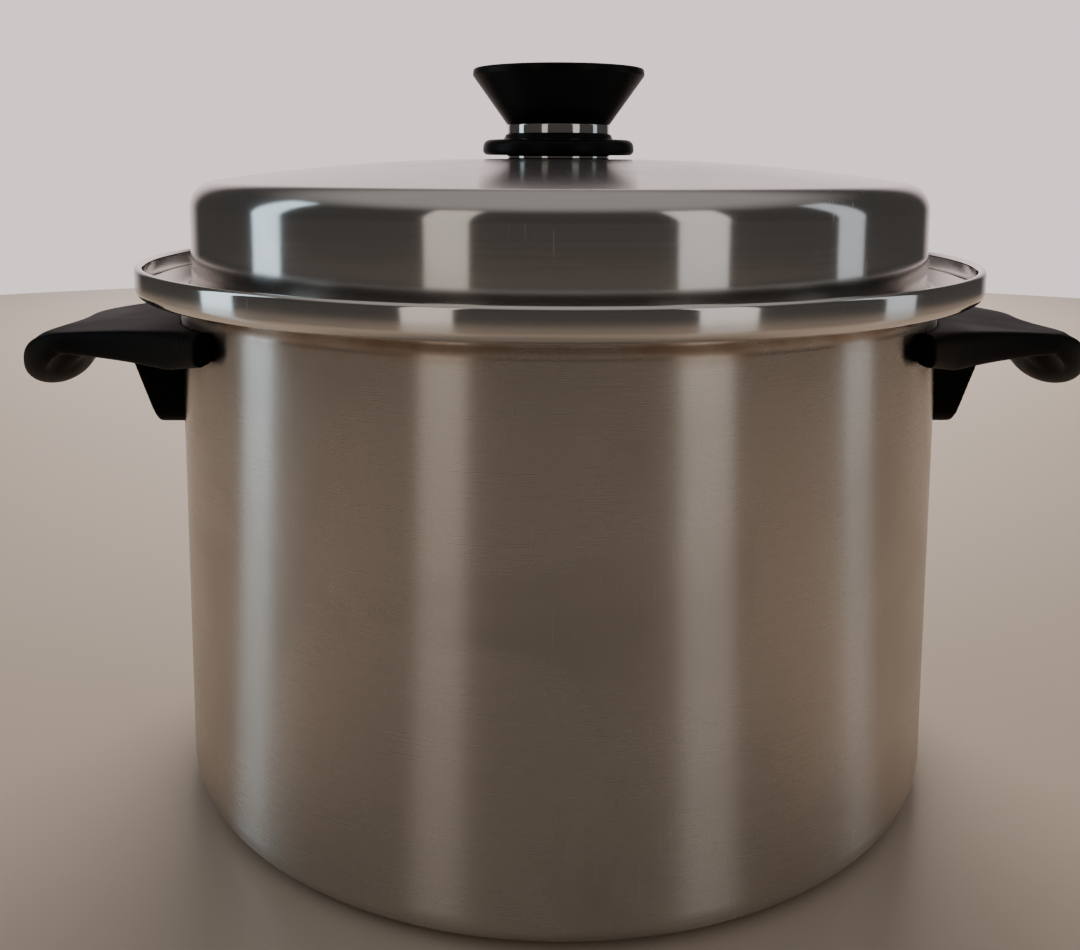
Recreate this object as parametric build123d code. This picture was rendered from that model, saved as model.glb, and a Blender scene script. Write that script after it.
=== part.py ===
from build123d import *
import os
from math import cos, radians, sin

# Lidded steel stock pot with phenolic handles and knob. Millimetres, +Z up.
# The origin is the centre of the base, on the surface that the pot stands on.
# The handles lie along X.

# Pot
body_radius = 125.0
base_corner_radius = 10.4
shoulder_height = 154.0
shoulder_turn = 50.0
shoulder_radius = 3.0
neck_radius = 122.5
neck_bend = 1.0
flare_slope = 6.0
rim_radius = 138.6
rim_bend = 2.8
rim_top = 168.1
outer_ply = 0.6
core_ply = 1.4
liner_ply = 0.6
wall = outer_ply + core_ply + liner_ply

# Lid
lid_radius = 121.6
lid_thickness = 1.0
lid_top = 202.4
lid_seat_radius = 18.5
dome_end_radius = 114.5
dome_turn = 8.7
lid_foot_bend = 1.2
lid_flange_radius = 134.5
lid_clearance = 0.05

# Knob, from the lid's top upwards
collar_radius = 17.5
lower_collar_top = 203.7
guard_radius = 26.0
guard_top = 208.8
guard_step_radius = 18.0
guard_step_top = 210.7
upper_collar_top = 214.0
knob_foot_radius = 17.5
knob_top_radius = 29.2
knob_flare_top = 230.4
knob_top = 232.8
knob_edge_rounding = 1.1
knob_dish_radius = 180.0
knob_dish_depth = 1.2
guard_rounding = 1.8
screw_radius = 2.5
running_clearance = 0.05
insert_radius = 6.0
insert_top = 226.0
screw_top = 224.0
knob_washer_radius = 10.0
knob_washer_thickness = 1.0
screw_head_radius = 4.8
screw_head_height = 2.6
screw_head_rounding = 1.2
slot_width = 1.2
slot_depth = 1.1
insert_cap = 1.5

# Side handles
handle_tip = 182.0
nose_half_width = 37.0
nose_shoulder = 158.0
ear_angle = 37.3
ear_thickness = 5.5
plate_inner_top = 156.1
plate_inner = 80.0
plate_crest = 166.0
plate_crest_top = 146.5
plate_bottom = 140.5
ear_bottom = 149.5
ear_bottom_end = 118.0
lip_radius = 9.3
lip_centre_height = 134.3
lip_arch_radius = 48.0
lip_lean = 22.0
lip_web = 6.0
leg_half_width = 17.0
leg_top_reach = 146.2
leg_bottom_reach = 136.2
leg_bottom = 113.2
leg_rounding = 6.0
boss_radius = 6.0
boss_height = 120.0
boss_reach = 139.8

# Handle fixings
bracket_thickness = 1.6
bracket_half_width = 11.0
bracket_bottom = 114.5
bracket_top = 149.0
tang_bottom = 142.6
tang_reach = 158.0
tang_half_width = 9.0
pocket_gap = 0.2
weld_nut_radius = 4.6
weld_nut_height = 3.6
fixing_radius = 2.0
head_radius = 3.8
head_height = 2.2
washer_radius = 3.7
washer_thickness = 0.9
head_rounding = 0.8
counterbore_depth = 4.4

# Shapes that are joined or cut run this far into or past each other.
overlap = 1.0
clear_past = 5.0
span = 120.0


def trace(start, heading, steps, shift=0.0):
    """Edges of a smooth path in the XZ plane, moved to its left by shift.

    Each step is a straight run, then a turn in degrees (left is positive) on a radius."""
    angle = radians(heading)
    point = Vector(start[0] - shift * sin(angle), 0, start[1] + shift * cos(angle))
    edges = []
    for run, turn, radius in steps:
        ahead = Vector(cos(angle), 0, sin(angle))
        if run > 0:
            edges.append(Edge.make_line(point, point + ahead * run))
            point = point + ahead * run
        if turn:
            side = 1 if turn > 0 else -1
            bend = radius - side * shift
            centre = point + Vector(-sin(angle), 0, cos(angle)) * bend * side
            points = [point]
            for part in (0.5, 1.0):
                now = angle + radians(turn) * part
                points.append(centre - Vector(-sin(now), 0, cos(now)) * bend * side)
            edges.append(Edge.make_three_point_arc(*points))
            point = points[-1]
            angle += radians(turn)
    return edges


def turned(edges):
    """Solid of revolution about Z from a closed outline in the XZ plane."""
    return revolve(make_face(edges), Axis.Z)


def closed_between(first, second):
    """Outline made of two paths that run the same way, joined at their ends."""
    starts = Edge.make_line(first[0] @ 0, second[0] @ 0)
    ends = Edge.make_line(first[-1] @ 1, second[-1] @ 1)
    return [starts, *first, ends, *second]


def pot_steps():
    """Runs and turns of the pot's outside, from the base's centre to the rim's top."""
    slope = radians(shoulder_turn)
    flare = radians(flare_slope)
    past_shoulder = body_radius - shoulder_radius * (1 - cos(slope))
    neck_start = neck_radius + neck_bend * (1 - cos(slope))
    shoulder_run = (past_shoulder - neck_start) / sin(slope)
    neck_end = neck_radius + neck_bend * (1 - sin(flare))
    flare_end = rim_radius - rim_bend * (1 - sin(flare))
    flare_run = (flare_end - neck_end) / cos(flare)
    neck_height = (
        shoulder_height
        + shoulder_radius * sin(slope)
        + shoulder_run * cos(slope)
        + neck_bend * sin(slope)
    )
    band_start = neck_height + (neck_bend + rim_bend) * cos(flare) + flare_run * sin(flare)
    neck_turn = shoulder_turn + 90 - flare_slope
    return [
        (body_radius - base_corner_radius, 90, base_corner_radius),
        (shoulder_height - base_corner_radius, shoulder_turn, shoulder_radius),
        (shoulder_run, -neck_turn, neck_bend),
        (flare_run, 90 - flare_slope, rim_bend),
        (rim_top - band_start, 0, 0),
    ], neck_height


def pot_ply(inner, outer):
    """One ply of the pot's wall, between two depths from the outside."""
    steps, _ = pot_steps()
    return turned(closed_between(trace((0, 0), 0, steps, outer), trace((0, 0), 0, steps, inner)))


def pot_shell():
    """Outer steel ply, with the rounded lip that closes over the other plies."""
    lip_centre = Vector(rim_radius - wall / 2, 0, rim_top)
    lip = Edge.make_three_point_arc(
        lip_centre + Vector(wall / 2, 0, 0),
        lip_centre + Vector(0, 0, wall / 2),
        lip_centre - Vector(wall / 2, 0, 0),
    )
    chord = Edge.make_line(lip @ 0, lip @ 1)
    return pot_ply(outer_ply, 0) + turned([lip, chord])


def seat_height(radius):
    """Height of the ledge inside the rim at a radius."""
    _, neck_height = pot_steps()
    flare = radians(flare_slope)
    start = neck_radius + neck_bend * (1 - sin(flare))
    outside = neck_height + neck_bend * cos(flare) + (radius - start) * sin(flare) / cos(flare)
    return outside + wall / cos(flare)


def lid_steps():
    """Runs and turns of the lid's outside, from the knob's hole to the flange's edge."""
    dome = radians(dome_turn)
    flare = radians(flare_slope)
    dome_radius = (dome_end_radius - lid_seat_radius) / sin(dome)
    corner = (lid_radius - dome_end_radius) / (1 - sin(dome))
    wall_top = lid_top - dome_radius * (1 - cos(dome)) - corner * cos(dome)
    foot = lid_radius + lid_foot_bend * (1 + sin(flare))
    foot_height = seat_height(foot) + (lid_clearance + lid_thickness) / cos(flare)
    wall_bottom = foot_height + lid_foot_bend * cos(flare)
    bore = screw_radius + running_clearance
    return [
        (lid_seat_radius - bore, -dome_turn, dome_radius),
        (0, dome_turn - 90, corner),
        (wall_top - wall_bottom, 90 + flare_slope, lid_foot_bend),
        ((lid_flange_radius - foot) / cos(flare), 0, 0),
    ]


def lid_shell():
    """Domed lid whose flange rests on the ledge inside the pot's rim."""
    start = (screw_radius + running_clearance, lid_top)
    outside = trace(start, 0, lid_steps())
    inside = trace(start, 0, lid_steps(), -lid_thickness)
    return turned(closed_between(outside, inside))


def upright(radius, bottom, top):
    """Cylinder about Z between two heights."""
    return Pos(0, 0, bottom) * Cylinder(radius, top - bottom, align=(Align.CENTER, Align.CENTER, Align.MIN))


def ring(inner, outer, bottom, top, rounding=0.0):
    """Flat ring about Z with its outer edges rounded."""
    solid = upright(outer, bottom, top)
    if rounding:
        solid = fillet(solid.edges(), rounding)
    return solid - upright(inner, bottom - overlap, top + overlap)


def heat_guard():
    """Round finger guard under the knob, with a low step that carries the upper collar."""
    bore = screw_radius + running_clearance
    disc = ring(bore, guard_radius, lower_collar_top, guard_top, guard_rounding)
    return disc + ring(bore, guard_step_radius, guard_top - overlap, guard_step_top)


def knob_grip():
    """Flared knob: a cone that widens upwards to a rounded edge and a shallow dish."""
    outline = Polyline(
        (0, 0, upper_collar_top),
        (knob_foot_radius, 0, upper_collar_top),
        (knob_top_radius, 0, knob_flare_top),
        (knob_top_radius, 0, knob_top),
        (0, 0, knob_top),
        close=True,
    )
    grip = revolve(make_face(outline.edges()), Axis.Z)
    rims = grip.edges().filter_by(GeomType.CIRCLE).group_by(Axis.Z)
    grip = fillet(rims[-1] + rims[-2], knob_edge_rounding)
    dish = Pos(0, 0, knob_top + knob_dish_radius - knob_dish_depth) * Sphere(knob_dish_radius)
    return grip - dish - upright(insert_radius, upper_collar_top - overlap, insert_top)


def knob_insert():
    """Threaded brass insert moulded into the knob."""
    body = ring(screw_radius + running_clearance, insert_radius, upper_collar_top, insert_top)
    return body + upright(screw_radius + overlap, insert_top - insert_cap, insert_top)


def knob_screw():
    """Screw from inside the lid up into the knob's insert."""
    under_washer = lid_top - lid_thickness - knob_washer_thickness
    head_bottom = under_washer - screw_head_height
    head = upright(screw_head_radius, head_bottom, under_washer)
    head = fillet(head.edges().group_by(Axis.Z)[0], screw_head_rounding)
    slot = Pos(0, 0, head_bottom) * Box(3 * screw_head_radius, slot_width, 2 * slot_depth)
    return head - slot + upright(screw_radius, under_washer, screw_top)


def handle_plan():
    """Seen from above: a rounded nose with flanks that sweep back to two ears."""
    nose_rise = handle_tip - nose_shoulder
    nose_radius = (nose_rise**2 + nose_half_width**2) / (2 * nose_rise)
    nose_centre = handle_tip - nose_radius
    ear = radians(ear_angle)
    ear_outer = Vector(cos(ear), sin(ear)) * (body_radius + ear_thickness)
    ear_inner = Vector(cos(ear), sin(ear)) * (body_radius - clear_past)
    start = Vector(nose_shoulder, nose_half_width)
    tangent = Vector(-nose_half_width, nose_shoulder - nose_centre)
    flank = Edge.make_tangent_arc(start, tangent, ear_outer)
    ear_end = Edge.make_line(ear_outer, ear_inner)
    back = Edge.make_line(ear_inner, Vector(ear_inner.X, -ear_inner.Y))
    nose = Edge.make_three_point_arc(
        start, Vector(handle_tip, 0), Vector(nose_shoulder, -nose_half_width)
    )
    return make_face([nose, flank, ear_end, back, flank.mirror(Plane.XZ), ear_end.mirror(Plane.XZ)])


def side_face(*points):
    """Face in the XZ plane through (x, z) corners."""
    return make_face(Polyline(*[(x, 0, z) for x, z in points], close=True).edges())


def along_x(radius, start, end, height):
    """Round bar along X between two distances from the pot's axis."""
    bar = Cylinder(radius, end - start, align=(Align.CENTER, Align.CENTER, Align.MIN))
    return Pos(start, 0, height) * Rot(0, 90, 0) * bar


def handle_blank():
    """Plate, rolled lip and leg, before the holes for the fixings."""
    plan = extrude(Pos(0, 0, leg_bottom) * handle_plan(), span, dir=(0, 0, 1))
    lip_centre = handle_tip - lip_radius
    lean = radians(lip_lean)
    plate = side_face(
        (plate_inner, plate_inner_top),
        (plate_crest, plate_crest_top),
        (lip_centre + lip_radius * sin(lean), lip_centre_height + lip_radius * cos(lean)),
        (lip_centre, plate_bottom),
        (ear_bottom_end, plate_bottom),
        (plate_inner, ear_bottom),
    )
    web = side_face(
        (lip_centre - lip_radius - lip_web, plate_bottom),
        (lip_centre - lip_radius, lip_centre_height),
        (lip_centre, lip_centre_height),
        (lip_centre, plate_bottom + overlap),
        (lip_centre - lip_radius - lip_web, plate_bottom + overlap),
    )
    lip = Pos(lip_centre, 0, lip_centre_height) * Rot(90, 0, 0) * Cylinder(lip_radius, span)
    arch_height = lip_centre_height - lip_radius + lip_arch_radius
    arch = along_x(lip_arch_radius, body_radius, handle_tip + overlap, arch_height)
    rolled = (lip + extrude(web, span / 2, both=True)) & plan & arch
    grip = (extrude(plate, span, both=True) & plan) + rolled
    leg_side = side_face(
        (body_radius - clear_past, leg_bottom),
        (leg_bottom_reach, leg_bottom),
        (leg_top_reach, plate_bottom + overlap),
        (body_radius - clear_past, plate_bottom + overlap),
    )
    leg = extrude(leg_side, leg_half_width, both=True)
    leg = fillet(leg.edges().filter_by(Axis.X).group_by(Axis.Z)[0], leg_rounding)
    boss = along_x(boss_radius, body_radius - clear_past, boss_reach, boss_height)
    return grip + leg + boss


def wall_cylinder(radius):
    """Cylinder on the pot's axis, taller than a handle."""
    return upright(radius, 0, rim_top)


def bracket_solid(gap):
    """Bracket's curved plate and tang, made larger all round by gap."""
    reach = body_radius + bracket_thickness + gap
    sheet = upright(reach, bracket_bottom - gap, bracket_top + gap)
    width = 2 * (bracket_half_width + gap)
    sheet = sheet & (Pos(reach, 0, bracket_top) * Box(span, width, span))
    tang = Pos(body_radius - clear_past, 0, tang_bottom - gap) * Box(
        tang_reach + gap - body_radius + clear_past,
        2 * (tang_half_width + gap),
        bracket_thickness + 2 * gap,
        align=(Align.MIN, Align.CENTER, Align.MIN),
    )
    return sheet + tang - wall_cylinder(body_radius)


def side_handle():
    """Phenolic side handle on the +X side, hollowed for its bracket and screw."""
    start = body_radius - clear_past
    end = boss_reach + clear_past
    nut_end = body_radius + bracket_thickness + weld_nut_height + pocket_gap
    return (
        handle_blank()
        - wall_cylinder(body_radius)
        - bracket_solid(pocket_gap)
        - along_x(weld_nut_radius + pocket_gap, start, nut_end, boss_height)
        - along_x(fixing_radius + pocket_gap, start, end, boss_height)
        - along_x(head_radius + pocket_gap, boss_reach - counterbore_depth, end, boss_height)
    )


def side_bracket():
    """Steel bracket welded to the pot, with a tang that reaches into the grip."""
    start = body_radius - clear_past
    hole = along_x(fixing_radius + pocket_gap, start, body_radius + clear_past, boss_height)
    return bracket_solid(0) - hole


def side_weld_nut():
    """Round weld nut on the bracket."""
    face = body_radius + bracket_thickness
    end = face + weld_nut_height
    nut = along_x(weld_nut_radius, face - overlap, end, boss_height)
    bore = along_x(fixing_radius, face - clear_past, end + overlap, boss_height)
    return nut - wall_cylinder(face) - bore


def side_washer():
    """Washer at the bottom of the handle's counterbore."""
    start = boss_reach - counterbore_depth
    end = start + washer_thickness
    disc = along_x(washer_radius, start, end, boss_height)
    bore = fixing_radius + pocket_gap / 2
    return disc - along_x(bore, start - overlap, end + overlap, boss_height)


def side_screw():
    """Screw through the handle's leg into the weld nut."""
    start = boss_reach - counterbore_depth + washer_thickness
    end = start + head_height
    head = along_x(head_radius, start, end, boss_height)
    head = fillet(head.edges().group_by(Axis.X)[-1], head_rounding)
    slot = Pos(end, 0, boss_height) * Box(2 * slot_depth, slot_width, 3 * head_radius)
    return head - slot + along_x(fixing_radius, body_radius + pocket_gap, start, boss_height)


def save(shape, name):
    """Write one piece."""
    export_step(shape, "parts/" + name + ".step")


def knob_pieces():
    """Pieces of the knob, from its washer inside the lid to its grip."""
    bore = screw_radius + running_clearance
    under_lid = lid_top - lid_thickness
    return {
        "knob_screw": knob_screw(),
        "knob_washer": ring(bore, knob_washer_radius, under_lid - knob_washer_thickness, under_lid),
        "knob_collar_lower": ring(bore, collar_radius, lid_top, lower_collar_top),
        "heat_guard": heat_guard(),
        "knob_collar_upper": ring(bore, collar_radius, guard_step_top, upper_collar_top),
        "knob_insert": knob_insert(),
        "knob_grip": knob_grip(),
    }


def handle_pieces():
    """Pieces of one side handle, on the +X side."""
    return {
        "handle": side_handle(),
        "handle_bracket": side_bracket(),
        "handle_weld_nut": side_weld_nut(),
        "handle_washer": side_washer(),
        "handle_screw": side_screw(),
    }


os.makedirs("parts", exist_ok=True)
save(pot_shell(), "pot_shell")
save(pot_ply(outer_ply + core_ply, outer_ply), "pot_core")
save(pot_ply(wall, outer_ply + core_ply), "pot_liner")
save(lid_shell(), "lid_shell")
for name, piece in knob_pieces().items():
    save(piece, name)
for name, piece in handle_pieces().items():
    save(piece, name + "_right")
    save(Rot(0, 0, 180) * piece, name + "_left")
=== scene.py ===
from math import atan2, cos, pi, radians, sin, sqrt

import bmesh
import bpy
from mathutils import Matrix, Vector


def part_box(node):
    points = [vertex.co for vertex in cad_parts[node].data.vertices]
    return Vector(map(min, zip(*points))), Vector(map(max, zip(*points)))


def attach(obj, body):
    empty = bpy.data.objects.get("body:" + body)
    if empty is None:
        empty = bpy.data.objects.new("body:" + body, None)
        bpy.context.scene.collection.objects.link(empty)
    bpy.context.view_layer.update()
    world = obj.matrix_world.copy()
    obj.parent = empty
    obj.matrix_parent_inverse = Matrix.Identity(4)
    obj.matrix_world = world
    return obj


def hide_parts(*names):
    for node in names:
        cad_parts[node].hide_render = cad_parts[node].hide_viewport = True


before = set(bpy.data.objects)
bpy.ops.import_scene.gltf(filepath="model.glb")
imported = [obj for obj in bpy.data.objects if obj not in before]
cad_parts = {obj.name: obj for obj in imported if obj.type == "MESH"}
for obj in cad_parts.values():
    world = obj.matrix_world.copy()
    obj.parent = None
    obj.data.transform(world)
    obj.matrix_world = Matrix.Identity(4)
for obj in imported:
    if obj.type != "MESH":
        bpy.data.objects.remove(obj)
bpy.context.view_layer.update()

# Sizes in metres. MM turns the millimetres of the pot's drawing into metres.
MM = 0.001
TURNS = 720

_, rim_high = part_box("pot_shell")
_, lid_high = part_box("lid_shell")
knob_low, knob_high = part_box("knob_grip")
guard_low, guard_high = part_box("heat_guard")

BODY_RADIUS = 125.0 * MM
BASE_CORNER = 10.4 * MM
SHOULDER_HEIGHT = 154.0 * MM
SHOULDER_TURN = 50.0
SHOULDER_RADIUS = 3.0 * MM
NECK_RADIUS = 122.5 * MM
NECK_BEND = 1.0 * MM
FLARE_SLOPE = 6.0
RIM_RADIUS = rim_high.y
RIM_BEND = 2.8 * MM
WALL = 2.6 * MM
OUTER_PLY = 0.6 * MM
RIM_TOP = rim_high.z - WALL / 2

LID_RADIUS = 121.6 * MM
LID_THICKNESS = 1.0 * MM
LID_TOP = lid_high.z
LID_SEAT = 18.5 * MM
DOME_END = 114.5 * MM
DOME_TURN = 8.7
LID_FOOT_BEND = 1.2 * MM
LID_FLANGE = 134.5 * MM
LID_CLEARANCE = 0.05 * MM
BORE = 2.55 * MM

# The rim's steel is polished from just above the neck, and its ledge a little higher.
POLISH_START = 1.2 * MM
LEDGE_POLISH_START = 3.0 * MM


# --- Meshes -------------------------------------------------------------------


def finish_mesh(name, bm, body, replaced, material, sharp_angle=35):
    """Turn a bmesh into a smooth-shaded piece that rides on a CAD body."""
    bmesh.ops.recalc_face_normals(bm, faces=bm.faces)
    mesh = bpy.data.meshes.new(name)
    bm.to_mesh(mesh)
    bm.free()
    for face in mesh.polygons:
        face.use_smooth = True
    mesh.set_sharp_from_angle(angle=radians(sharp_angle))
    piece = bpy.data.objects.new(name, mesh)
    bpy.context.scene.collection.objects.link(piece)
    mesh.materials.append(material)
    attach(piece, body)
    if replaced:
        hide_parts(*replaced)
    return piece


def trace(start, heading, steps, shift=0.0, arc_step=3.0, run_step=0.02):
    """Points (radius, height) along a smooth path, moved to its left by shift.

    Each step is a straight run, then a turn in degrees (left is positive) on a radius."""
    angle = radians(heading)
    x = start[0] - shift * sin(angle)
    z = start[1] + shift * cos(angle)
    points = [(x, z)]
    for run, turn, radius in steps:
        pieces = max(1, round(run / run_step))
        for _ in range(pieces if run > 0 else 0):
            x += cos(angle) * run / pieces
            z += sin(angle) * run / pieces
            points.append((x, z))
        if not turn:
            continue
        side = 1 if turn > 0 else -1
        bend = radius - side * shift
        centre_x = x - sin(angle) * bend * side
        centre_z = z + cos(angle) * bend * side
        cuts = max(4, round(abs(turn) / arc_step))
        for cut in range(1, cuts + 1):
            now = angle + radians(turn) * cut / cuts
            x = centre_x + sin(now) * bend * side
            z = centre_z - cos(now) * bend * side
            points.append((x, z))
        angle += radians(turn)
    return points


def half_round(centre, radius, start, end, cuts=12):
    """Points on an arc of a circle between two angles in degrees."""
    found = []
    for cut in range(cuts + 1):
        angle = radians(start + (end - start) * cut / cuts)
        found.append((centre[0] + radius * cos(angle), centre[1] + radius * sin(angle)))
    return found


def lathe(outline, turns=TURNS):
    """Turn a closed outline of (radius, height) points into a ring-shaped bmesh about Z."""
    bm = bmesh.new()
    rings = []
    for radius, height in outline:
        if radius < 1e-7:
            rings.append([bm.verts.new((0, 0, height))])
            continue
        ring = []
        for turn in range(turns):
            angle = 2 * pi * turn / turns
            ring.append(bm.verts.new((radius * cos(angle), radius * sin(angle), height)))
        rings.append(ring)
    for first, second in zip(rings, rings[1:] + rings[:1]):
        for turn in range(turns):
            corners = []
            for ring, offset in ((first, 0), (first, 1), (second, 1), (second, 0)):
                vert = ring[(turn + offset) % len(ring)]
                if vert not in corners:
                    corners.append(vert)
            if len(corners) > 2:
                bm.faces.new(corners)
    return bm


def rounded(corners, radii, cuts=6):
    """Closed outline with its corners rounded: one radius for each corner."""
    found = []
    count = len(corners)
    for index in range(count):
        here = Vector(corners[index])
        before = (Vector(corners[index - 1]) - here).normalized()
        after = (Vector(corners[(index + 1) % count]) - here).normalized()
        radius = radii[index]
        if radius <= 0:
            found.append(tuple(here))
            continue
        half = before.angle(after) / 2
        reach = radius / (sin(half) / cos(half))
        centre = here + (before + after).normalized() * (radius / sin(half))
        start = here + before * reach - centre
        end = here + after * reach - centre
        sweep = start.angle_signed(end)
        for cut in range(cuts + 1):
            turned = Matrix.Rotation(-sweep * cut / cuts, 2) @ start
            found.append(tuple(centre + turned))
    return found


# --- Profiles -----------------------------------------------------------------


def pot_steps():
    """Runs and turns of the pot's outside, from the base's centre to the rim's top."""
    slope = radians(SHOULDER_TURN)
    flare = radians(FLARE_SLOPE)
    past_shoulder = BODY_RADIUS - SHOULDER_RADIUS * (1 - cos(slope))
    neck_start = NECK_RADIUS + NECK_BEND * (1 - cos(slope))
    shoulder_run = (past_shoulder - neck_start) / sin(slope)
    neck_end = NECK_RADIUS + NECK_BEND * (1 - sin(flare))
    flare_end = RIM_RADIUS - RIM_BEND * (1 - sin(flare))
    flare_run = (flare_end - neck_end) / cos(flare)
    neck_height = (
        SHOULDER_HEIGHT
        + SHOULDER_RADIUS * sin(slope)
        + shoulder_run * cos(slope)
        + NECK_BEND * sin(slope)
    )
    band_start = neck_height + (NECK_BEND + RIM_BEND) * cos(flare) + flare_run * sin(flare)
    return [
        (BODY_RADIUS - BASE_CORNER, 90, BASE_CORNER),
        (SHOULDER_HEIGHT - BASE_CORNER, SHOULDER_TURN, SHOULDER_RADIUS),
        (shoulder_run, -SHOULDER_TURN - 90 + FLARE_SLOPE, NECK_BEND),
        (flare_run, 90 - FLARE_SLOPE, RIM_BEND),
        (RIM_TOP - band_start, 0, 0),
    ], neck_height


def pot_outline(inner, outer, lip):
    """Closed outline of the pot's wall between two depths from the outside."""
    steps, _ = pot_steps()
    outside = trace((0, 0), 0, steps, outer)
    inside = trace((0, 0), 0, steps, inner)
    over = half_round((RIM_RADIUS - WALL / 2, RIM_TOP), WALL / 2, 0, 180)[1:-1] if lip else []
    return outside + over + inside[::-1]


def seat_height(radius):
    """Height of the ledge inside the rim at a radius."""
    _, neck_height = pot_steps()
    flare = radians(FLARE_SLOPE)
    start = NECK_RADIUS + NECK_BEND * (1 - sin(flare))
    outside = neck_height + NECK_BEND * cos(flare) + (radius - start) * sin(flare) / cos(flare)
    return outside + WALL / cos(flare)


def lid_outline():
    """Closed outline of the lid, with a rounded edge on its flange."""
    dome = radians(DOME_TURN)
    flare = radians(FLARE_SLOPE)
    dome_radius = (DOME_END - LID_SEAT) / sin(dome)
    corner = (LID_RADIUS - DOME_END) / (1 - sin(dome))
    wall_top = LID_TOP - dome_radius * (1 - cos(dome)) - corner * cos(dome)
    foot = LID_RADIUS + LID_FOOT_BEND * (1 + sin(flare))
    foot_height = seat_height(foot) + (LID_CLEARANCE + LID_THICKNESS) / cos(flare)
    wall_bottom = foot_height + LID_FOOT_BEND * cos(flare)
    edge = LID_THICKNESS / 2
    steps = [
        (LID_SEAT - BORE, -DOME_TURN, dome_radius),
        (0, DOME_TURN - 90, corner),
        (wall_top - wall_bottom, 90 + FLARE_SLOPE, LID_FOOT_BEND),
        ((LID_FLANGE - foot) / cos(flare) - edge, 0, 0),
    ]
    outside = trace((BORE, LID_TOP), 0, steps, 0.0, 0.5)
    inside = trace((BORE, LID_TOP), 0, steps, -LID_THICKNESS, 0.5)
    middle = (Vector(outside[-1]) + Vector(inside[-1])) / 2
    rim = half_round(middle, edge, 90 + FLARE_SLOPE, FLARE_SLOPE - 90, 8)[1:-1]
    return outside + rim + inside[::-1]


def disc_outline(radius, bottom, top, rounding, bore=BORE):
    """Closed outline of a flat ring with rounded outer edges."""
    corners = [(bore, bottom), (radius, bottom), (radius, top), (bore, top)]
    return rounded(corners, [0, rounding, rounding, 0])


# --- Materials ----------------------------------------------------------------


class Nodes:
    """Small helper that adds and links shader nodes."""

    def __init__(self, tree):
        self.tree = tree

    def add(self, kind, settings=None, **inputs):
        node = self.tree.nodes.new(kind)
        for key, value in (settings or {}).items():
            setattr(node, key, value)
        for key, value in inputs.items():
            self.set(node, key.replace("_", " "), value)
        return node

    def set(self, node, socket, value):
        target = node.inputs[int(socket)] if str(socket).isdigit() else node.inputs[socket]
        if isinstance(value, bpy.types.NodeSocket):
            self.tree.links.new(value, target)
        else:
            target.default_value = value

    def math(self, operation, first, second=0.0, third=0.0, clamp=False):
        node = self.tree.nodes.new("ShaderNodeMath")
        node.operation = operation
        node.use_clamp = clamp
        for index, value in enumerate((first, second, third)):
            self.set(node, index, value)
        return node.outputs[0]

    def ramp(self, value, low, high, out_low=0.0, out_high=1.0):
        node = self.tree.nodes.new("ShaderNodeMapRange")
        node.interpolation_type = "SMOOTHSTEP"
        for index, item in enumerate((value, low, high, out_low, out_high)):
            self.set(node, index, item)
        return node.outputs[0]

    def noise(self, vector, scale, detail=3.0, rough=0.5, distortion=0.0):
        node = self.add("ShaderNodeTexNoise")
        self.set(node, "Vector", vector)
        self.set(node, "Scale", scale)
        self.set(node, "Detail", detail)
        self.set(node, "Roughness", rough)
        self.set(node, "Distortion", distortion)
        return node.outputs["Fac"]

    def mix(self, factor, first, second):
        node = self.tree.nodes.new("ShaderNodeMix")
        node.data_type = "RGBA"
        self.set(node, 0, factor)
        self.set(node, 6, first)
        self.set(node, 7, second)
        return node.outputs[2]


def new_material(name):
    """Empty node material with a Principled shader: (material, helper, shader)."""
    material = bpy.data.materials.new(name)
    material.use_nodes = True
    tree = material.node_tree
    tree.nodes.clear()
    kit = Nodes(tree)
    shader = kit.add("ShaderNodeBsdfPrincipled")
    output = kit.add("ShaderNodeOutputMaterial")
    tree.links.new(shader.outputs[0], output.inputs[0])
    return material, kit, shader


def turned_coordinates(kit):
    """Object coordinates, the distance from Z, and one coordinate that runs along the profile."""
    place = kit.add("ShaderNodeTexCoord").outputs["Object"]
    split = kit.add("ShaderNodeSeparateXYZ", Vector=place)
    x, y, z = split.outputs
    radius = kit.math("SQRT", kit.math("ADD", kit.math("MULTIPLY", x, x), kit.math("MULTIPLY", y, y)))
    return place, x, y, z, radius


# Stretch of the brushing's noise: along the rings, then across them.
FINE_BRUSHING = (22.0, 5200.0)
COARSE_BRUSHING = (9.0, 900.0)


def brush_vector(kit, x, y, z, radius, along, across):
    """Coordinates stretched round the axis, so that noise in them runs in rings."""
    profile = kit.math("ADD", z, radius)
    return kit.add(
        "ShaderNodeCombineXYZ",
        X=kit.math("MULTIPLY", x, along),
        Y=kit.math("MULTIPLY", y, along),
        Z=kit.math("MULTIPLY", profile, across),
    ).outputs[0]


def scratches(kit, place, turn):
    """Sparse hairline scratches: thin slices of stretched noise, kept only in patches."""
    slices = kit.add("ShaderNodeMapping")
    kit.set(slices, "Vector", place)
    kit.set(slices, "Rotation", (turn, turn * 0.7, turn * 1.3))
    kit.set(slices, "Scale", (2600.0, 70.0, 70.0))
    line = kit.ramp(kit.noise(slices.outputs[0], 1.0, 1.0), 0.68, 0.76)
    patch = kit.ramp(kit.noise(place, 26.0, 2.0), 0.5, 0.62)
    return kit.math("MULTIPLY", line, patch)


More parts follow.
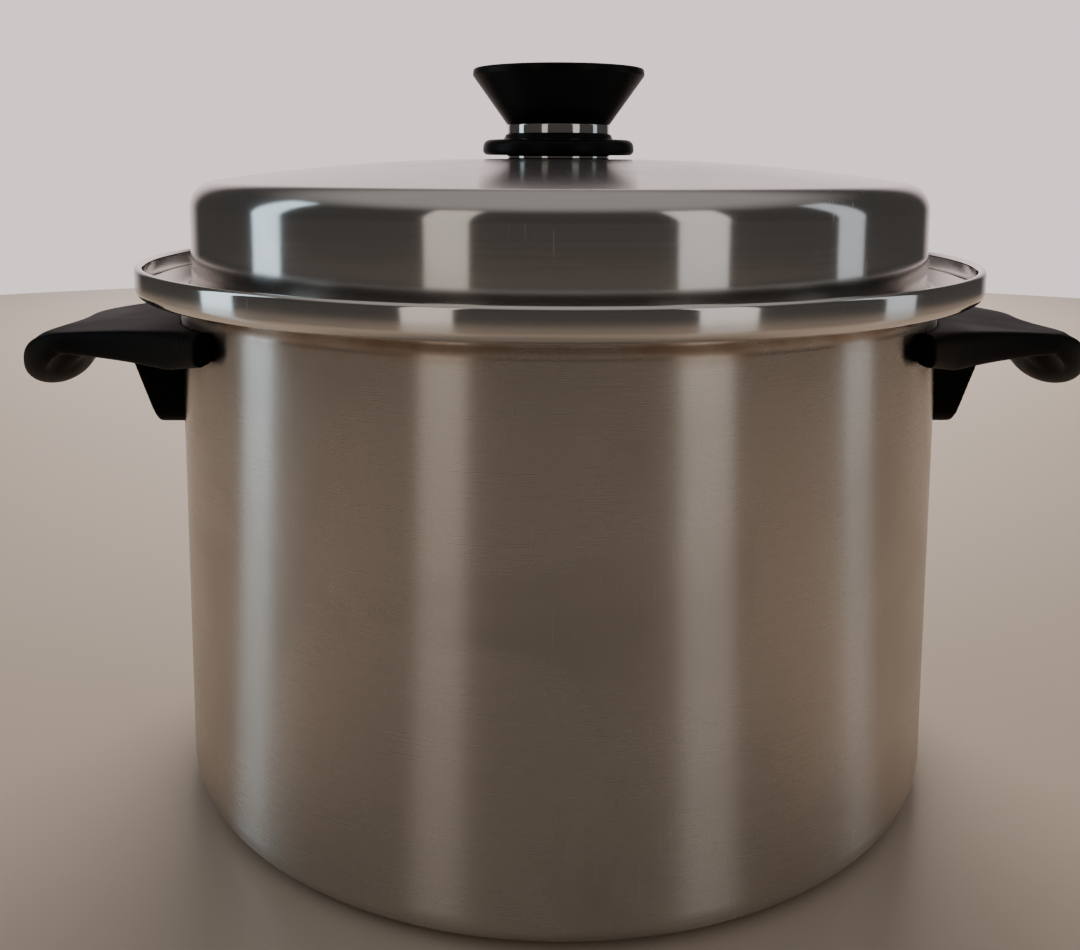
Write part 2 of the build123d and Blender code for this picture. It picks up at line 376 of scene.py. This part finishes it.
def steel(name, colour, roughness, spread, anisotropy, brushing, painted_neck_shade=0.0, marks=1.0, satin=None):
    """Stainless steel brushed round the axis, with smudges, hairlines and optional painted shade in brown
    patches round the neck under the rim.

    Satin is a height and a roughness: the steel is that much rougher above that height."""
    material, kit, shader = new_material(name)
    place, x, y, z, radius = turned_coordinates(kit)
    fine = kit.noise(brush_vector(kit, x, y, z, radius, *FINE_BRUSHING), 1.0, 2.0, 0.6)
    coarse = kit.noise(brush_vector(kit, x, y, z, radius, *COARSE_BRUSHING), 1.0, 3.0, 0.6)
    smudge = kit.noise(place, 16.0, 4.0, 0.55, 0.6)
    blotch = kit.noise(place, 55.0, 3.0, 0.6)
    hairs = kit.math("MULTIPLY", scratches(kit, place, 0.5), marks)
    grain = kit.math("ADD", kit.math("MULTIPLY", fine, 0.6), kit.math("MULTIPLY", coarse, 0.4))

    rough = kit.math("MULTIPLY_ADD", kit.math("SUBTRACT", grain, 0.5), spread * 1.6, roughness)
    rough = kit.math("MULTIPLY_ADD", kit.ramp(smudge, 0.45, 0.75), spread * 0.9, rough)
    rough = kit.math("MULTIPLY_ADD", kit.ramp(blotch, 0.6, 0.75), spread * 0.5 * marks, rough)
    rough = kit.math("MULTIPLY_ADD", hairs, 0.2, rough, clamp=True)
    if satin:
        upper = kit.ramp(z, satin[0], satin[0] + 5 * MM)
        rough = kit.math("MULTIPLY_ADD", upper, satin[1], rough)

    dark = [channel * 0.86 for channel in colour] + [1]
    base = kit.mix(kit.ramp(smudge, 0.4, 0.8), list(colour) + [1], dark)
    base = kit.mix(kit.math("MULTIPLY", hairs, 0.5), base, (0.82, 0.8, 0.78, 1))
    # Painted shade and dark reflection: brown patches round the neck, under the rim's flare, darken the
    # colour there and roughen it.
    if painted_neck_shade:
        band = kit.math("SUBTRACT", z, SHOULDER_HEIGHT + 5 * MM)
        band = kit.ramp(kit.math("ABSOLUTE", band), 2 * MM, 8 * MM, 1.0, 0.0)
        neck_shade_patches = kit.ramp(kit.noise(place, 30.0, 5.0, 0.65), 0.42, 0.66)
        neck_shade_mask = kit.math("MULTIPLY", kit.math("MULTIPLY", band, neck_shade_patches), painted_neck_shade)
        base = kit.mix(neck_shade_mask, base, (0.42, 0.25, 0.12, 1))
        rough = kit.math("MULTIPLY_ADD", neck_shade_mask, 0.15, rough)

    height = kit.math("ADD", kit.math("MULTIPLY", grain, brushing), kit.math("MULTIPLY", hairs, -0.3))
    bump = kit.add("ShaderNodeBump")
    kit.set(bump, "Strength", 0.25)
    kit.set(bump, "Distance", 0.02 * MM)
    kit.set(bump, "Height", height)
    tangent = kit.add("ShaderNodeTangent", {"direction_type": "RADIAL", "axis": "Z"})
    kit.set(shader, "Base Color", base)
    kit.set(shader, "Metallic", 1.0)
    kit.set(shader, "Roughness", rough)
    kit.set(shader, "Anisotropic", anisotropy)
    kit.set(shader, "Anisotropic Rotation", 0.25)
    kit.set(shader, "Tangent", tangent.outputs[0])
    kit.set(shader, "Normal", bump.outputs[0])
    return material


def phenolic(name, colour, roughness, gloss):
    """Black moulded phenolic: faint mottling, fine grain and a little handling wear."""
    material, kit, shader = new_material(name)
    place = kit.add("ShaderNodeTexCoord").outputs["Object"]
    mottle = kit.noise(place, 60.0, 4.0, 0.6)
    grain = kit.noise(place, 1800.0, 2.0, 0.5)
    rub = kit.ramp(kit.noise(place, 22.0, 3.0, 0.5), 0.45, 0.7)
    light = [channel * 1.8 for channel in colour] + [1]
    base = kit.mix(kit.ramp(mottle, 0.35, 0.75), list(colour) + [1], light)
    hairs = scratches(kit, place, 1.1)
    base = kit.mix(kit.math("MULTIPLY", hairs, 0.2), base, (0.06, 0.055, 0.05, 1))
    rough = kit.math("MULTIPLY_ADD", rub, -0.07, roughness)
    rough = kit.math("MULTIPLY_ADD", mottle, 0.08, rough)
    bump = kit.add("ShaderNodeBump")
    kit.set(bump, "Strength", 0.18)
    kit.set(bump, "Distance", 0.03 * MM)
    kit.set(bump, "Height", grain)
    kit.set(shader, "Base Color", base)
    kit.set(shader, "Roughness", rough)
    kit.set(shader, "IOR", 1.5)
    kit.set(shader, "Specular IOR Level", gloss)
    kit.set(shader, "Normal", bump.outputs[0])
    return material


def metal(name, colour, roughness):
    """Plain machined metal for the fixings, with fine turning marks."""
    material, kit, shader = new_material(name)
    place = kit.add("ShaderNodeTexCoord").outputs["Object"]
    marks = kit.noise(place, 900.0, 2.0, 0.6)
    patches = kit.noise(place, 120.0, 3.0, 0.6)
    dark = [channel * 0.8 for channel in colour] + [1]
    kit.set(shader, "Base Color", kit.mix(patches, list(colour) + [1], dark))
    kit.set(shader, "Metallic", 1.0)
    kit.set(shader, "Roughness", kit.math("MULTIPLY_ADD", marks, 0.15, roughness))
    bump = kit.add("ShaderNodeBump")
    kit.set(bump, "Strength", 0.2)
    kit.set(bump, "Distance", 0.02 * MM)
    kit.set(bump, "Height", marks)
    kit.set(shader, "Normal", bump.outputs[0])
    return material


LID_CORNER = LID_TOP - 15 * MM
# The body's steel carries the painted shade in brown patches round its neck.
BODY_STEEL = steel("brushed_body_steel", (0.6, 0.555, 0.515), 0.27, 0.03, 1.0, 0.3, painted_neck_shade=0.6, marks=0.6)
RIM_STEEL = steel("polished_rim_steel", (0.76, 0.73, 0.7), 0.1, 0.04, 0.8, 0.3, marks=0.5)
INNER_STEEL = steel("inner_steel", (0.62, 0.6, 0.58), 0.3, 0.1, 0.7, 0.9)
LID_STEEL = steel(
    "lid_steel", (0.66, 0.64, 0.625), 0.12, 0.04, 0.8, 0.35, marks=0.6, satin=(LID_CORNER, 0.05)
)
COLLAR_STEEL = steel("collar_steel", (0.78, 0.77, 0.76), 0.06, 0.03, 0.3, 0.2, marks=0.3)
FIXING_STEEL = metal("fixing_steel", (0.58, 0.57, 0.56), 0.3)
CORE_METAL = metal("core_aluminium", (0.77, 0.77, 0.78), 0.4)
BRASS = metal("insert_brass", (0.72, 0.55, 0.25), 0.25)
KNOB_BLACK = phenolic("knob_phenolic", (0.0035, 0.0032, 0.003), 0.4, 0.16)
HANDLE_BLACK = phenolic("handle_phenolic", (0.003, 0.0026, 0.0024), 0.5, 0.06)


# --- Pot ----------------------------------------------------------------------


def make_pot():
    """Outer ply with its polished rim, and the inner ply."""
    shell = finish_mesh(
        "pot_shell_smooth",
        lathe(pot_outline(OUTER_PLY, 0.0, True)),
        "pot",
        ["pot_shell"],
        BODY_STEEL,
    )
    shell.data.materials.append(RIM_STEEL)
    _, neck_height = pot_steps()
    for face in shell.data.polygons:
        if face.center.z > neck_height + POLISH_START:
            face.material_index = 1
    liner = finish_mesh(
        "pot_liner_smooth",
        lathe(pot_outline(WALL, WALL - OUTER_PLY, False)),
        "pot",
        ["pot_liner"],
        INNER_STEEL,
    )
    liner.data.materials.append(RIM_STEEL)
    for face in liner.data.polygons:
        if face.center.z > neck_height + LEDGE_POLISH_START:
            face.material_index = 1


# --- Lid and knob -------------------------------------------------------------


def make_lid():
    """Domed lid with its flange."""
    finish_mesh("lid_shell_smooth", lathe(lid_outline()), "lid", ["lid_shell"], LID_STEEL)


COLLAR_ROUNDING = 0.35 * MM
GUARD_STEP_HEIGHT = 1.9 * MM
GUARD_STEP_MARGIN = 0.5 * MM
KNOB_FOOT_RADIUS = 17.5 * MM
KNOB_EDGE_HEIGHT = 2.4 * MM
KNOB_DISH = 1.2 * MM
KNOB_DISH_RADIUS = 20.0 * MM


def make_knob():
    """Collars, finger guard and flared knob, with their edges rounded."""
    lower_low, lower_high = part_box("knob_collar_lower")
    upper_low, upper_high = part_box("knob_collar_upper")
    for node, low, high in (
        ("knob_collar_lower", lower_low, lower_high),
        ("knob_collar_upper", upper_low, upper_high),
    ):
        outline = disc_outline(high.y, low.z, high.z, COLLAR_ROUNDING)
        finish_mesh(node + "_smooth", lathe(outline, 256), "lid", [node], COLLAR_STEEL)
    disc_top = guard_high.z - GUARD_STEP_HEIGHT
    step = upper_high.y + GUARD_STEP_MARGIN
    guard = rounded(
        [
            (BORE, guard_low.z),
            (guard_high.y, guard_low.z),
            (guard_high.y - 0.5 * MM, disc_top),
            (step + 0.6 * MM, disc_top + 0.2 * MM),
            (step, guard_high.z),
            (BORE, guard_high.z),
        ],
        [0, 1.7 * MM, 2.4 * MM, 0.8 * MM, 0.5 * MM, 0],
    )
    finish_mesh("heat_guard_smooth", lathe(guard, 384), "lid", ["heat_guard"], KNOB_BLACK)
    flare_top = knob_high.z - KNOB_EDGE_HEIGHT
    knob = rounded(
        [
            (0, knob_low.z),
            (KNOB_FOOT_RADIUS, knob_low.z),
            (knob_high.y, flare_top),
            (knob_high.y - 0.2 * MM, knob_high.z),
            (KNOB_DISH_RADIUS, knob_high.z - KNOB_DISH * 0.55),
            (0, knob_high.z - KNOB_DISH),
        ],
        [0, 0.6 * MM, 0.9 * MM, 0.9 * MM, 30 * MM, 0],
        10,
    )
    finish_mesh("knob_grip_smooth", lathe(knob, 384), "lid", ["knob_grip"], KNOB_BLACK, 50)


# --- Handles ------------------------------------------------------------------

HANDLE_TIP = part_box("handle_right")[1].x
NOSE_SHOULDER = 158.0 * MM
NOSE_HALF_WIDTH = 37.0 * MM
EAR_ANGLE = 37.3
EAR_THICKNESS = 5.5 * MM
PLATE_INNER = 80.0 * MM
PLATE_INNER_TOP = 156.1 * MM
PLATE_CREST = 166.0 * MM
PLATE_CREST_TOP = 146.5 * MM
PLATE_BOTTOM = 140.5 * MM
EAR_BOTTOM = 149.5 * MM
EAR_BOTTOM_END = 118.0 * MM
LIP_RADIUS = 9.3 * MM
EDGE_ROUNDING = 2.5 * MM
LIP_CENTRE_HEIGHT = 134.3 * MM
LIP_ARCH = 48.0 * MM
LEG_HALF_WIDTH = 17.0 * MM
LEG_TOP_REACH = 146.2 * MM
LEG_BOTTOM_REACH = 136.2 * MM
LEG_BOTTOM = 113.2 * MM
LEG_ROUNDING = 7 * MM
LEG_BULGE = 2.0 * MM
LEG_OVERLAP = 3 * MM
BOSS_HEIGHT = 120.0 * MM
BOSS_RADIUS = 6 * MM
BOSS_PROUD = 1.2 * MM
POCKET_RADIUS = 4.0 * MM
POCKET_DEPTH = 2.4 * MM
POCKET_REACH = 10 * MM
MELT_VOXEL = 0.75 * MM
WALL_GAP = 0.12 * MM
WALL_CUTS = 512


def mix(first, second, share):
    """Value between two values."""
    return first + (second - first) * share


def smooth(value):
    """Smooth step of a value between 0 and 1."""
    value = min(1.0, max(0.0, value))
    return value * value * (3 - 2 * value)


def plan_points(count):
    """Pairs of (edge point, wall point) seen from above, from one ear round the nose to the other."""
    nose_rise = HANDLE_TIP - NOSE_SHOULDER
    nose_radius = (nose_rise**2 + NOSE_HALF_WIDTH**2) / (2 * nose_rise)
    nose_centre = HANDLE_TIP - nose_radius
    nose_sweep = atan2(NOSE_HALF_WIDTH, NOSE_SHOULDER - nose_centre)
    ear = radians(EAR_ANGLE)
    reach = BODY_RADIUS + EAR_THICKNESS
    end = Vector((reach * cos(ear), reach * sin(ear)))
    start = Vector((NOSE_SHOULDER, NOSE_HALF_WIDTH))
    chord = end - start
    tangent = Vector((-NOSE_HALF_WIDTH, NOSE_SHOULDER - nose_centre)).normalized()
    normal = Vector((tangent.y, -tangent.x))
    flank_radius = chord.length_squared / (2 * chord.dot(-normal))
    flank_sweep = 2 * tangent.angle(chord)
    flank_centre = start - normal * flank_radius
    half = []
    nose_cuts = round(count * 0.45)
    for cut in range(nose_cuts):
        angle = nose_sweep * cut / nose_cuts
        half.append(Vector((nose_centre + nose_radius * cos(angle), nose_radius * sin(angle))))
    spoke = start - flank_centre
    for cut in range(count - nose_cuts + 1):
        turned = Matrix.Rotation(-flank_sweep * cut / (count - nose_cuts), 2) @ spoke
        half.append(flank_centre + turned)
    full = [Vector((point.x, -point.y)) for point in half[:0:-1]] + half
    pairs = []
    for index, point in enumerate(full):
        share = (index - count) / count
        angle = ear * share
        foot = Vector((cos(angle), sin(angle))) * (BODY_RADIUS + 0.1 * MM)
        pairs.append((point, foot))
    return pairs


def plate_top(x):
    """Height of the handle's top surface at a distance along X."""
    share = (x - PLATE_INNER) / (PLATE_CREST - PLATE_INNER)
    return mix(PLATE_INNER_TOP, PLATE_CREST_TOP, share)


def plate_under(x):
    """Height of the handle's underside at a distance along X."""
    share = (EAR_BOTTOM_END - x) / (EAR_BOTTOM_END - PLATE_INNER)
    return mix(PLATE_BOTTOM, EAR_BOTTOM, min(1.0, max(0.0, share)))


def handle_section(edge, foot):
    """Closed section of the grip between the wall and its outer edge."""
    out = edge - foot
    length = out.length
    out = out / length
    width = abs(edge.y) / NOSE_HALF_WIDTH
    nose_share = 1 - smooth((width - 0.05) / 0.95) if edge.x > NOSE_SHOULDER else 0.0
    top_edge = plate_top(edge.x)
    under = plate_under(edge.x)
    plain = min(EDGE_ROUNDING, (top_edge - under) / 2, length * 0.45)
    ball = mix(plain, LIP_RADIUS, nose_share)
    arch = LIP_CENTRE_HEIGHT - LIP_RADIUS + LIP_ARCH
    drop = arch - sqrt(max(0.0, LIP_ARCH**2 - edge.y**2))
    bottom = mix(under, max(LIP_CENTRE_HEIGHT - LIP_RADIUS, min(drop, under)), 1.0 if nose_share else 0.0)
    centre_u = length - ball
    low_z = bottom + ball
    high_z = mix(max(low_z, top_edge - ball), low_z, nose_share)
    points = []
    foot_top = plate_top(foot.x)
    foot_under = plate_under(foot.x)
    crest_u = max(length * 0.3, length - ball - 9 * MM * max(nose_share, 0.15))
    crest_z = plate_top((foot + out * crest_u).x)
    for cut in range(7):
        points.append((mix(0, crest_u, cut / 6), mix(foot_top, crest_z, cut / 6)))
    top_angle = mix(88, 66, nose_share)
    for cut in range(29):
        angle = radians(mix(top_angle, mix(-90, -180, nose_share), cut / 28))
        centre_z = high_z if angle > 0 else low_z
        points.append((centre_u + ball * cos(angle), centre_z + ball * sin(angle)))
    root_u = max(0.2 * length, centre_u - ball - 7 * MM * nose_share)
    root_z = plate_under((foot + out * root_u).x)
    for cut in range(7):
        points.append((mix(root_u, 0, cut / 6), mix(root_z, foot_under, cut / 6)))
    section = []
    for u, height in points:
        flat = foot + out * max(0.0, u)
        section.append((flat.x, flat.y, height))
    return section


def grip_mesh():
    """Lofted grip from ear to ear."""
    bm = bmesh.new()
    rings = []
    for edge, foot in plan_points(60):
        rings.append([bm.verts.new(point) for point in handle_section(edge, foot)])
    for first, second in zip(rings, rings[1:]):
        size = len(first)
        for index in range(size):
            after = (index + 1) % size
            bm.faces.new((first[index], first[after], second[after], second[index]))
    bm.faces.new(rings[0])
    bm.faces.new(rings[-1][::-1])
    bmesh.ops.recalc_face_normals(bm, faces=bm.faces)
    return bm


def block(bm, low_section, high_section):
    """Closed block between two rings of points of the same length."""
    low = [bm.verts.new(point) for point in low_section]
    high = [bm.verts.new(point) for point in high_section]
    size = len(low)
    for index in range(size):
        after = (index + 1) % size
        bm.faces.new((low[index], low[after], high[after], high[index]))
    bm.faces.new(low[::-1])
    bm.faces.new(high)


def leg_mesh():
    """Tapered leg under the grip, rounded at its foot."""
    bm = bmesh.new()
    inner = BODY_RADIUS - LEG_OVERLAP
    top = PLATE_BOTTOM + LEG_OVERLAP
    slope = (LEG_TOP_REACH - LEG_BOTTOM_REACH) / (PLATE_BOTTOM - LEG_BOTTOM)
    low, high = [], []
    foot = rounded(
        [
            (-LEG_HALF_WIDTH, top),
            (-LEG_HALF_WIDTH, LEG_BOTTOM),
            (LEG_HALF_WIDTH, LEG_BOTTOM),
            (LEG_HALF_WIDTH, top),
        ],
        [0, LEG_ROUNDING, LEG_ROUNDING, 0],
        8,
    )
    for y, height in foot:
        bulge = LEG_BULGE * (1 - (y / LEG_HALF_WIDTH) ** 2)
        low.append((inner, y, height))
        high.append((LEG_BOTTOM_REACH + slope * (height - LEG_BOTTOM) - LEG_BULGE + bulge, y, height))
    block(bm, low, high)
    bmesh.ops.recalc_face_normals(bm, faces=bm.faces)
    return bm


def bar_mesh(radius, start, end, height, cuts=48):
    """Round bar along X."""
    bm = bmesh.new()
    low, high = [], []
    for cut in range(cuts):
        angle = 2 * pi * cut / cuts
        low.append((start, radius * cos(angle), height + radius * sin(angle)))
        high.append((end, radius * cos(angle), height + radius * sin(angle)))
    block(bm, low, high)
    bmesh.ops.recalc_face_normals(bm, faces=bm.faces)
    return bm


def loose_object(name, bm):
    """Plain object from a bmesh, used while a handle is put together."""
    mesh = bpy.data.meshes.new(name)
    bm.to_mesh(mesh)
    bm.free()
    made = bpy.data.objects.new(name, mesh)
    bpy.context.scene.collection.objects.link(made)
    return made


def evaluated_copy(obj):
    """Mesh of an object with its modifiers applied."""
    graph = bpy.context.evaluated_depsgraph_get()
    return bpy.data.meshes.new_from_object(obj.evaluated_get(graph))


def carve(obj, tool, operation):
    """Boolean of one loose object with another, applied."""
    modifier = obj.modifiers.new("cut", "BOOLEAN")
    modifier.operation = operation
    modifier.object = tool
    modifier.solver = "EXACT"
    mesh = evaluated_copy(obj)
    obj.modifiers.clear()
    obj.data = mesh
    bpy.data.objects.remove(tool)


def wall_tool():
    """Cylinder that stands for the pot's wall, used to hollow a handle's back."""
    radius = BODY_RADIUS + WALL_GAP
    outline = [(0, 0.05), (radius, 0.05), (radius, 0.2), (0, 0.2)]
    return loose_object("wall_tool", lathe(outline, WALL_CUTS))


def make_handles():
    """Both side handles: lofted grip, leg and screw boss melted together like one moulding."""
    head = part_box("handle_screw_right")[1].x
    grip = loose_object("grip", grip_mesh())
    carve(grip, loose_object("leg", leg_mesh()), "UNION")
    boss = bar_mesh(BOSS_RADIUS, BODY_RADIUS, head + BOSS_PROUD, BOSS_HEIGHT)
    carve(grip, loose_object("boss", boss), "UNION")
    remesh = grip.modifiers.new("melt", "REMESH")
    remesh.mode = "VOXEL"
    remesh.voxel_size = MELT_VOXEL
    soften = grip.modifiers.new("soften", "SMOOTH")
    soften.factor = 0.5
    soften.iterations = 7
    mesh = evaluated_copy(grip)
    grip.modifiers.clear()
    grip.data = mesh
    carve(grip, wall_tool(), "DIFFERENCE")
    pocket = bar_mesh(POCKET_RADIUS, head - POCKET_DEPTH, head + POCKET_REACH, BOSS_HEIGHT)
    carve(grip, loose_object("pocket", pocket), "DIFFERENCE")
    for side, turn in (("right", 0), ("left", pi)):
        bm = bmesh.new()
        bm.from_mesh(grip.data)
        bmesh.ops.rotate(bm, cent=(0, 0, 0), matrix=Matrix.Rotation(turn, 3, "Z"), verts=bm.verts)
        name = "handle_" + side
        finish_mesh(name + "_smooth", bm, "pot", [name], HANDLE_BLACK, 40)
    bpy.data.objects.remove(grip)


# --- CAD nodes that stay ------------------------------------------------------


def dress_nodes():
    """Materials for the CAD nodes whose shape is right as it is."""
    kept = {"pot_core": CORE_METAL, "knob_insert": BRASS}
    kept["knob_screw"] = kept["knob_washer"] = FIXING_STEEL
    for side in ("right", "left"):
        for part in ("bracket", "weld_nut", "washer", "screw"):
            kept[f"handle_{part}_{side}"] = FIXING_STEEL
    for node, material in kept.items():
        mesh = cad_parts[node].data
        if not mesh.materials:
            mesh.materials.append(material)
        for index in range(len(mesh.materials)):
            mesh.materials[index] = material


# --- Stage --------------------------------------------------------------------


FLOOR_RADIUS = 1.5


def make_floor():
    """Plain pale floor."""
    bm = bmesh.new()
    bmesh.ops.create_circle(bm, cap_ends=True, segments=256, radius=FLOOR_RADIUS)
    mesh = bpy.data.meshes.new("floor")
    bm.to_mesh(mesh)
    bm.free()
    floor = bpy.data.objects.new("floor", mesh)
    bpy.context.scene.collection.objects.link(floor)
    material, kit, shader = new_material("floor_pale")
    place = kit.add("ShaderNodeTexCoord").outputs["Object"]
    patch = kit.noise(place, 3.0, 3.0, 0.5)
    kit.set(shader, "Base Color", kit.mix(patch, (0.6, 0.5, 0.41, 1), (0.66, 0.555, 0.46, 1)))
    kit.set(shader, "Roughness", 0.3)
    mesh.materials.append(material)


# Plain studio: a dim room on the camera's side, a soft ceiling and a pale backdrop behind the pot.
ROOM = (0.06, 0.056, 0.053)
CEILING = (0.38, 0.36, 0.34)
BACKDROP = (1.25, 1.08, 1.07)


def make_world():
    """Plain surroundings: dim in front, pale behind, with a soft ceiling."""
    world = bpy.data.worlds.new("studio")
    bpy.context.scene.world = world
    world.use_nodes = True
    tree = world.node_tree
    tree.nodes.clear()
    kit = Nodes(tree)
    direction = kit.add("ShaderNodeTexCoord").outputs["Generated"]
    _, y, z = kit.add("ShaderNodeSeparateXYZ", Vector=direction).outputs
    walls = kit.mix(kit.ramp(y, 0.75, 0.97), (*ROOM, 1), (*BACKDROP, 1))
    sky = kit.mix(kit.ramp(z, 0.5, 0.85), walls, (*CEILING, 1))
    rays = kit.add("ShaderNodeLightPath")
    seen = kit.mix(rays.outputs["Is Camera Ray"], sky, (*BACKDROP, 1))
    back = kit.add("ShaderNodeBackground", Color=seen, Strength=1.0)
    output = kit.add("ShaderNodeOutputWorld")
    tree.links.new(back.outputs[0], output.inputs[0])


POT_MIDDLE = (0, 0, 0.1)


def aim(obj, target):
    """Turn an object's -Z axis towards a point."""
    obj.rotation_mode = "QUATERNION"
    obj.rotation_quaternion = (Vector(target) - obj.location).to_track_quat("-Z", "Y")


def add_light(name, azimuth, elevation, distance, size, power, colour):
    """Area light at a direction from the pot's middle, facing it."""
    data = bpy.data.lights.new(name, "AREA")
    data.shape = "RECTANGLE"
    data.size, data.size_y = size
    data.energy = power
    data.color = colour
    light = bpy.data.objects.new(name, data)
    bpy.context.scene.collection.objects.link(light)
    a, e = radians(azimuth), radians(elevation)
    direction = Vector((sin(a) * cos(e), -cos(a) * cos(e), sin(e)))
    light.location = direction * distance + Vector(POT_MIDDLE)
    aim(light, POT_MIDDLE)
    return light


# Tall soft boxes round the pot: azimuth in degrees (0 is the camera's side, positive towards +X),
# width in metres, power in watts and colour.
SOFT_BOXES = (
    (-92, 0.36, 3.4, (0.7, 0.88, 1.0)),
    (-32, 0.38, 1.3, (1.0, 0.9, 0.82)),
    (38, 0.44, 1.7, (1.0, 0.95, 0.91)),
    (88, 0.34, 1.2, (0.85, 0.93, 1.0)),
)
BOX_HEIGHT = 1.5
BOX_ELEVATION = 14
BOX_DISTANCE = 1.7


def make_lights():
    """Large soft top light that only the floor and the black parts take up, and tall soft boxes."""
    top = add_light("top_soft", 175, 33, 1.5, (1.2, 0.9), 21, (1.0, 0.9, 0.8))
    top.visible_glossy = False
    for index, (azimuth, width, power, colour) in enumerate(SOFT_BOXES):
        size = (width, BOX_HEIGHT)
        add_light(f"soft_box_{index}", azimuth, BOX_ELEVATION, BOX_DISTANCE, size, power, colour)


# --- Camera -------------------------------------------------------------------

SENSOR_WIDTH = 36
FOCAL = 1.037
SHIFT_DOWN = 0.1694
CAMERA_PLACE = (-0.0129, -0.3875, 0.2021)
CAMERA_YAW = 1.009
CAMERA_PITCH = 6.735
CAMERA_ROLL = -0.214


def make_camera():
    """Camera at the eye point, with the lens shifted down as far as the framing needs."""
    data = bpy.data.cameras.new("camera")
    data.sensor_width = SENSOR_WIDTH
    data.lens = SENSOR_WIDTH * FOCAL
    data.shift_y = -SHIFT_DOWN
    data.clip_start = 0.01
    camera = bpy.data.objects.new("camera", data)
    bpy.context.scene.collection.objects.link(camera)
    yaw, pitch = radians(CAMERA_YAW), radians(CAMERA_PITCH)
    view = Vector((sin(yaw) * cos(pitch), cos(yaw) * cos(pitch), -sin(pitch)))
    camera.rotation_mode = "QUATERNION"
    roll = Matrix.Rotation(radians(CAMERA_ROLL), 3, view)
    camera.rotation_quaternion = (roll @ view.to_track_quat("-Z", "Y").to_matrix()).to_quaternion()
    camera.location = CAMERA_PLACE
    bpy.context.scene.camera = camera


make_camera()
make_world()
make_lights()
make_floor()
make_pot()
make_lid()
make_knob()
make_handles()
dress_nodes()
